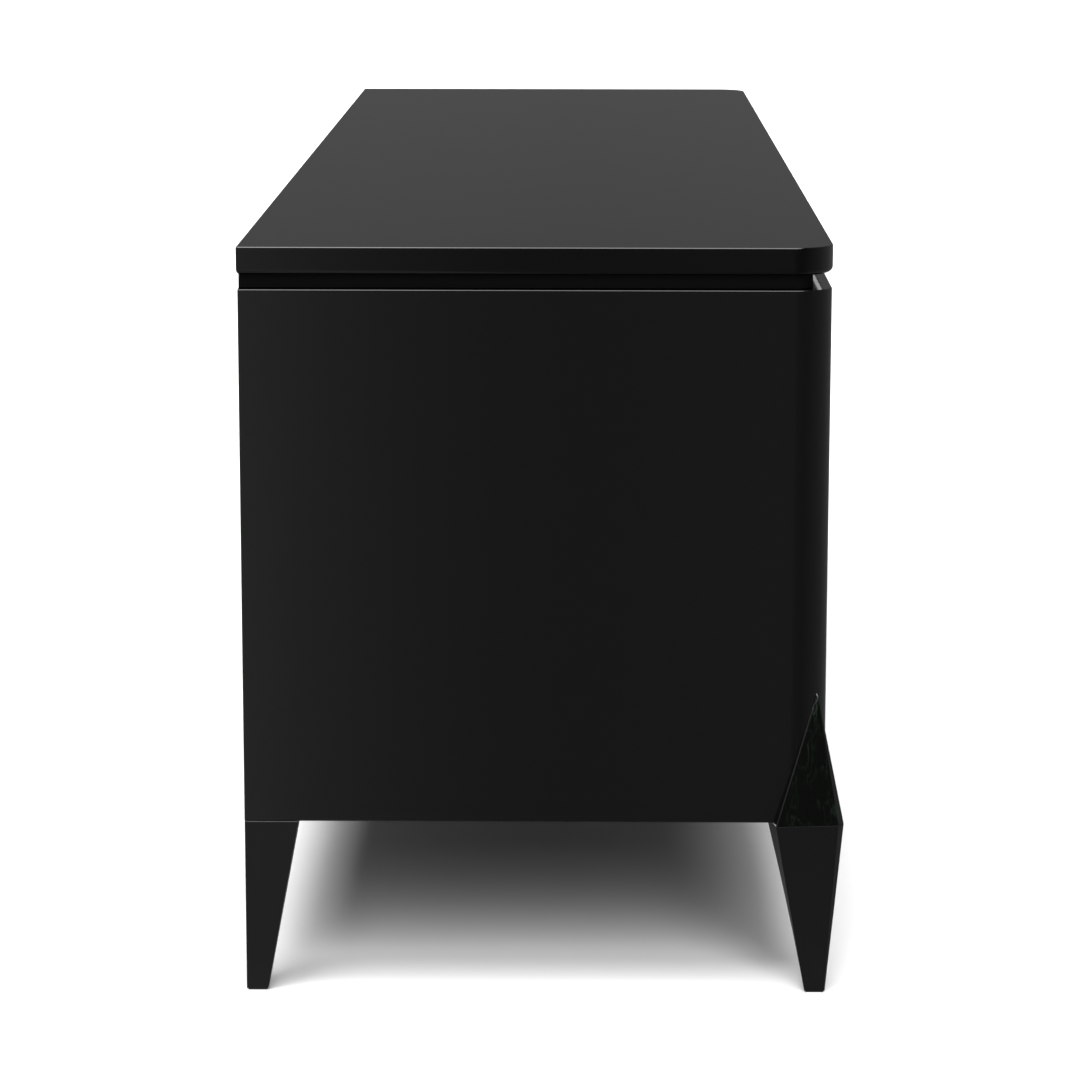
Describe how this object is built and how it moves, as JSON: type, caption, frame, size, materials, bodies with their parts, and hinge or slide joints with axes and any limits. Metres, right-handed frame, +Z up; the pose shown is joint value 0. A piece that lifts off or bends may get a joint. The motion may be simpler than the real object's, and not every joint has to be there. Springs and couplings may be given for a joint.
{
  "type": "dresser with drawers",
  "caption": "Long low black lacquered dresser on tapered legs, with sliding drawers, a shadow gap under the top and pointed dark glass caps on the front corners.",
  "frame": {"origin": "on the floor, at the middle of the bottom of the box that holds the whole piece", "axes": "+X along the length, to the right of a person who faces the drawers; +Y towards the back; +Z up. The drawers slide out along -Y"},
  "size_m": [1.926, 0.5142, 0.6448],
  "materials": {
    "gloss_black_lacquer": "polished gloss black polyester lacquer over board",
    "satin_black_lacquer": "satin black lacquer over solid wood",
    "oiled_walnut": "oiled walnut",
    "veneered_plywood": "plywood with walnut veneer, matt",
    "dark_green_glass": "polished very dark green glass with bevelled edges",
    "black_nylon": "moulded black nylon"
  },
  "bodies": {
    "case": {"back_panel": "satin_black_lacquer", "base_panel": "gloss_black_lacquer", "corner_cap_left": "dark_green_glass", "corner_cap_right": "dark_green_glass", "deck_panel": "gloss_black_lacquer", "divider_left": "oiled_walnut", "divider_right": "oiled_walnut", "end_panel_left": "gloss_black_lacquer", "end_panel_right": "gloss_black_lacquer", "front_leg_left": "satin_black_lacquer", "front_leg_right": "satin_black_lacquer", "glide_front_left": "black_nylon", "glide_front_right": "black_nylon", "glide_rear_left": "black_nylon", "glide_rear_right": "black_nylon", "plinth_board": "gloss_black_lacquer", "rail_centre": "satin_black_lacquer", "rail_left": "satin_black_lacquer", "rail_right": "satin_black_lacquer", "rear_leg_left": "satin_black_lacquer", "rear_leg_right": "satin_black_lacquer", "runner_centre_left": "oiled_walnut", "runner_centre_right": "oiled_walnut", "runner_left_left": "oiled_walnut", "runner_left_right": "oiled_walnut", "runner_right_left": "oiled_walnut", "runner_right_right": "oiled_walnut", "top_slab": "gloss_black_lacquer"},
    "drawer_lower_left": {"drawer_lower_left_back": "oiled_walnut", "drawer_lower_left_bottom": "veneered_plywood", "drawer_lower_left_front": "gloss_black_lacquer", "drawer_lower_left_side_left": "oiled_walnut", "drawer_lower_left_side_right": "oiled_walnut"},
    "drawer_lower_centre": {"drawer_lower_centre_back": "oiled_walnut", "drawer_lower_centre_bottom": "veneered_plywood", "drawer_lower_centre_front": "gloss_black_lacquer", "drawer_lower_centre_side_left": "oiled_walnut", "drawer_lower_centre_side_right": "oiled_walnut"},
    "drawer_lower_right": {"drawer_lower_right_back": "oiled_walnut", "drawer_lower_right_bottom": "veneered_plywood", "drawer_lower_right_front": "gloss_black_lacquer", "drawer_lower_right_side_left": "oiled_walnut", "drawer_lower_right_side_right": "oiled_walnut"},
    "drawer_upper_left": {"drawer_upper_left_back": "oiled_walnut", "drawer_upper_left_bottom": "veneered_plywood", "drawer_upper_left_front": "gloss_black_lacquer", "drawer_upper_left_side_left": "oiled_walnut", "drawer_upper_left_side_right": "oiled_walnut"},
    "drawer_upper_centre": {"drawer_upper_centre_back": "oiled_walnut", "drawer_upper_centre_bottom": "veneered_plywood", "drawer_upper_centre_front": "gloss_black_lacquer", "drawer_upper_centre_side_left": "oiled_walnut", "drawer_upper_centre_side_right": "oiled_walnut"},
    "drawer_upper_right": {"drawer_upper_right_back": "oiled_walnut", "drawer_upper_right_bottom": "veneered_plywood", "drawer_upper_right_front": "gloss_black_lacquer", "drawer_upper_right_side_left": "oiled_walnut", "drawer_upper_right_side_right": "oiled_walnut"}
  },
  "joints": [
    {"name": "lower_left_slide", "type": "slide", "parent": "case", "child": "drawer_lower_left", "axis": [0, -1, 0], "range_m": [0, 0.32]},
    {"name": "lower_centre_slide", "type": "slide", "parent": "case", "child": "drawer_lower_centre", "axis": [0, -1, 0], "range_m": [0, 0.32]},
    {"name": "lower_right_slide", "type": "slide", "parent": "case", "child": "drawer_lower_right", "axis": [0, -1, 0], "range_m": [0, 0.32]},
    {"name": "upper_left_slide", "type": "slide", "parent": "case", "child": "drawer_upper_left", "axis": [0, -1, 0], "range_m": [0, 0.32]},
    {"name": "upper_centre_slide", "type": "slide", "parent": "case", "child": "drawer_upper_centre", "axis": [0, -1, 0], "range_m": [0, 0.32]},
    {"name": "upper_right_slide", "type": "slide", "parent": "case", "child": "drawer_upper_right", "axis": [0, -1, 0], "range_m": [0, 0.32]}
  ]
}
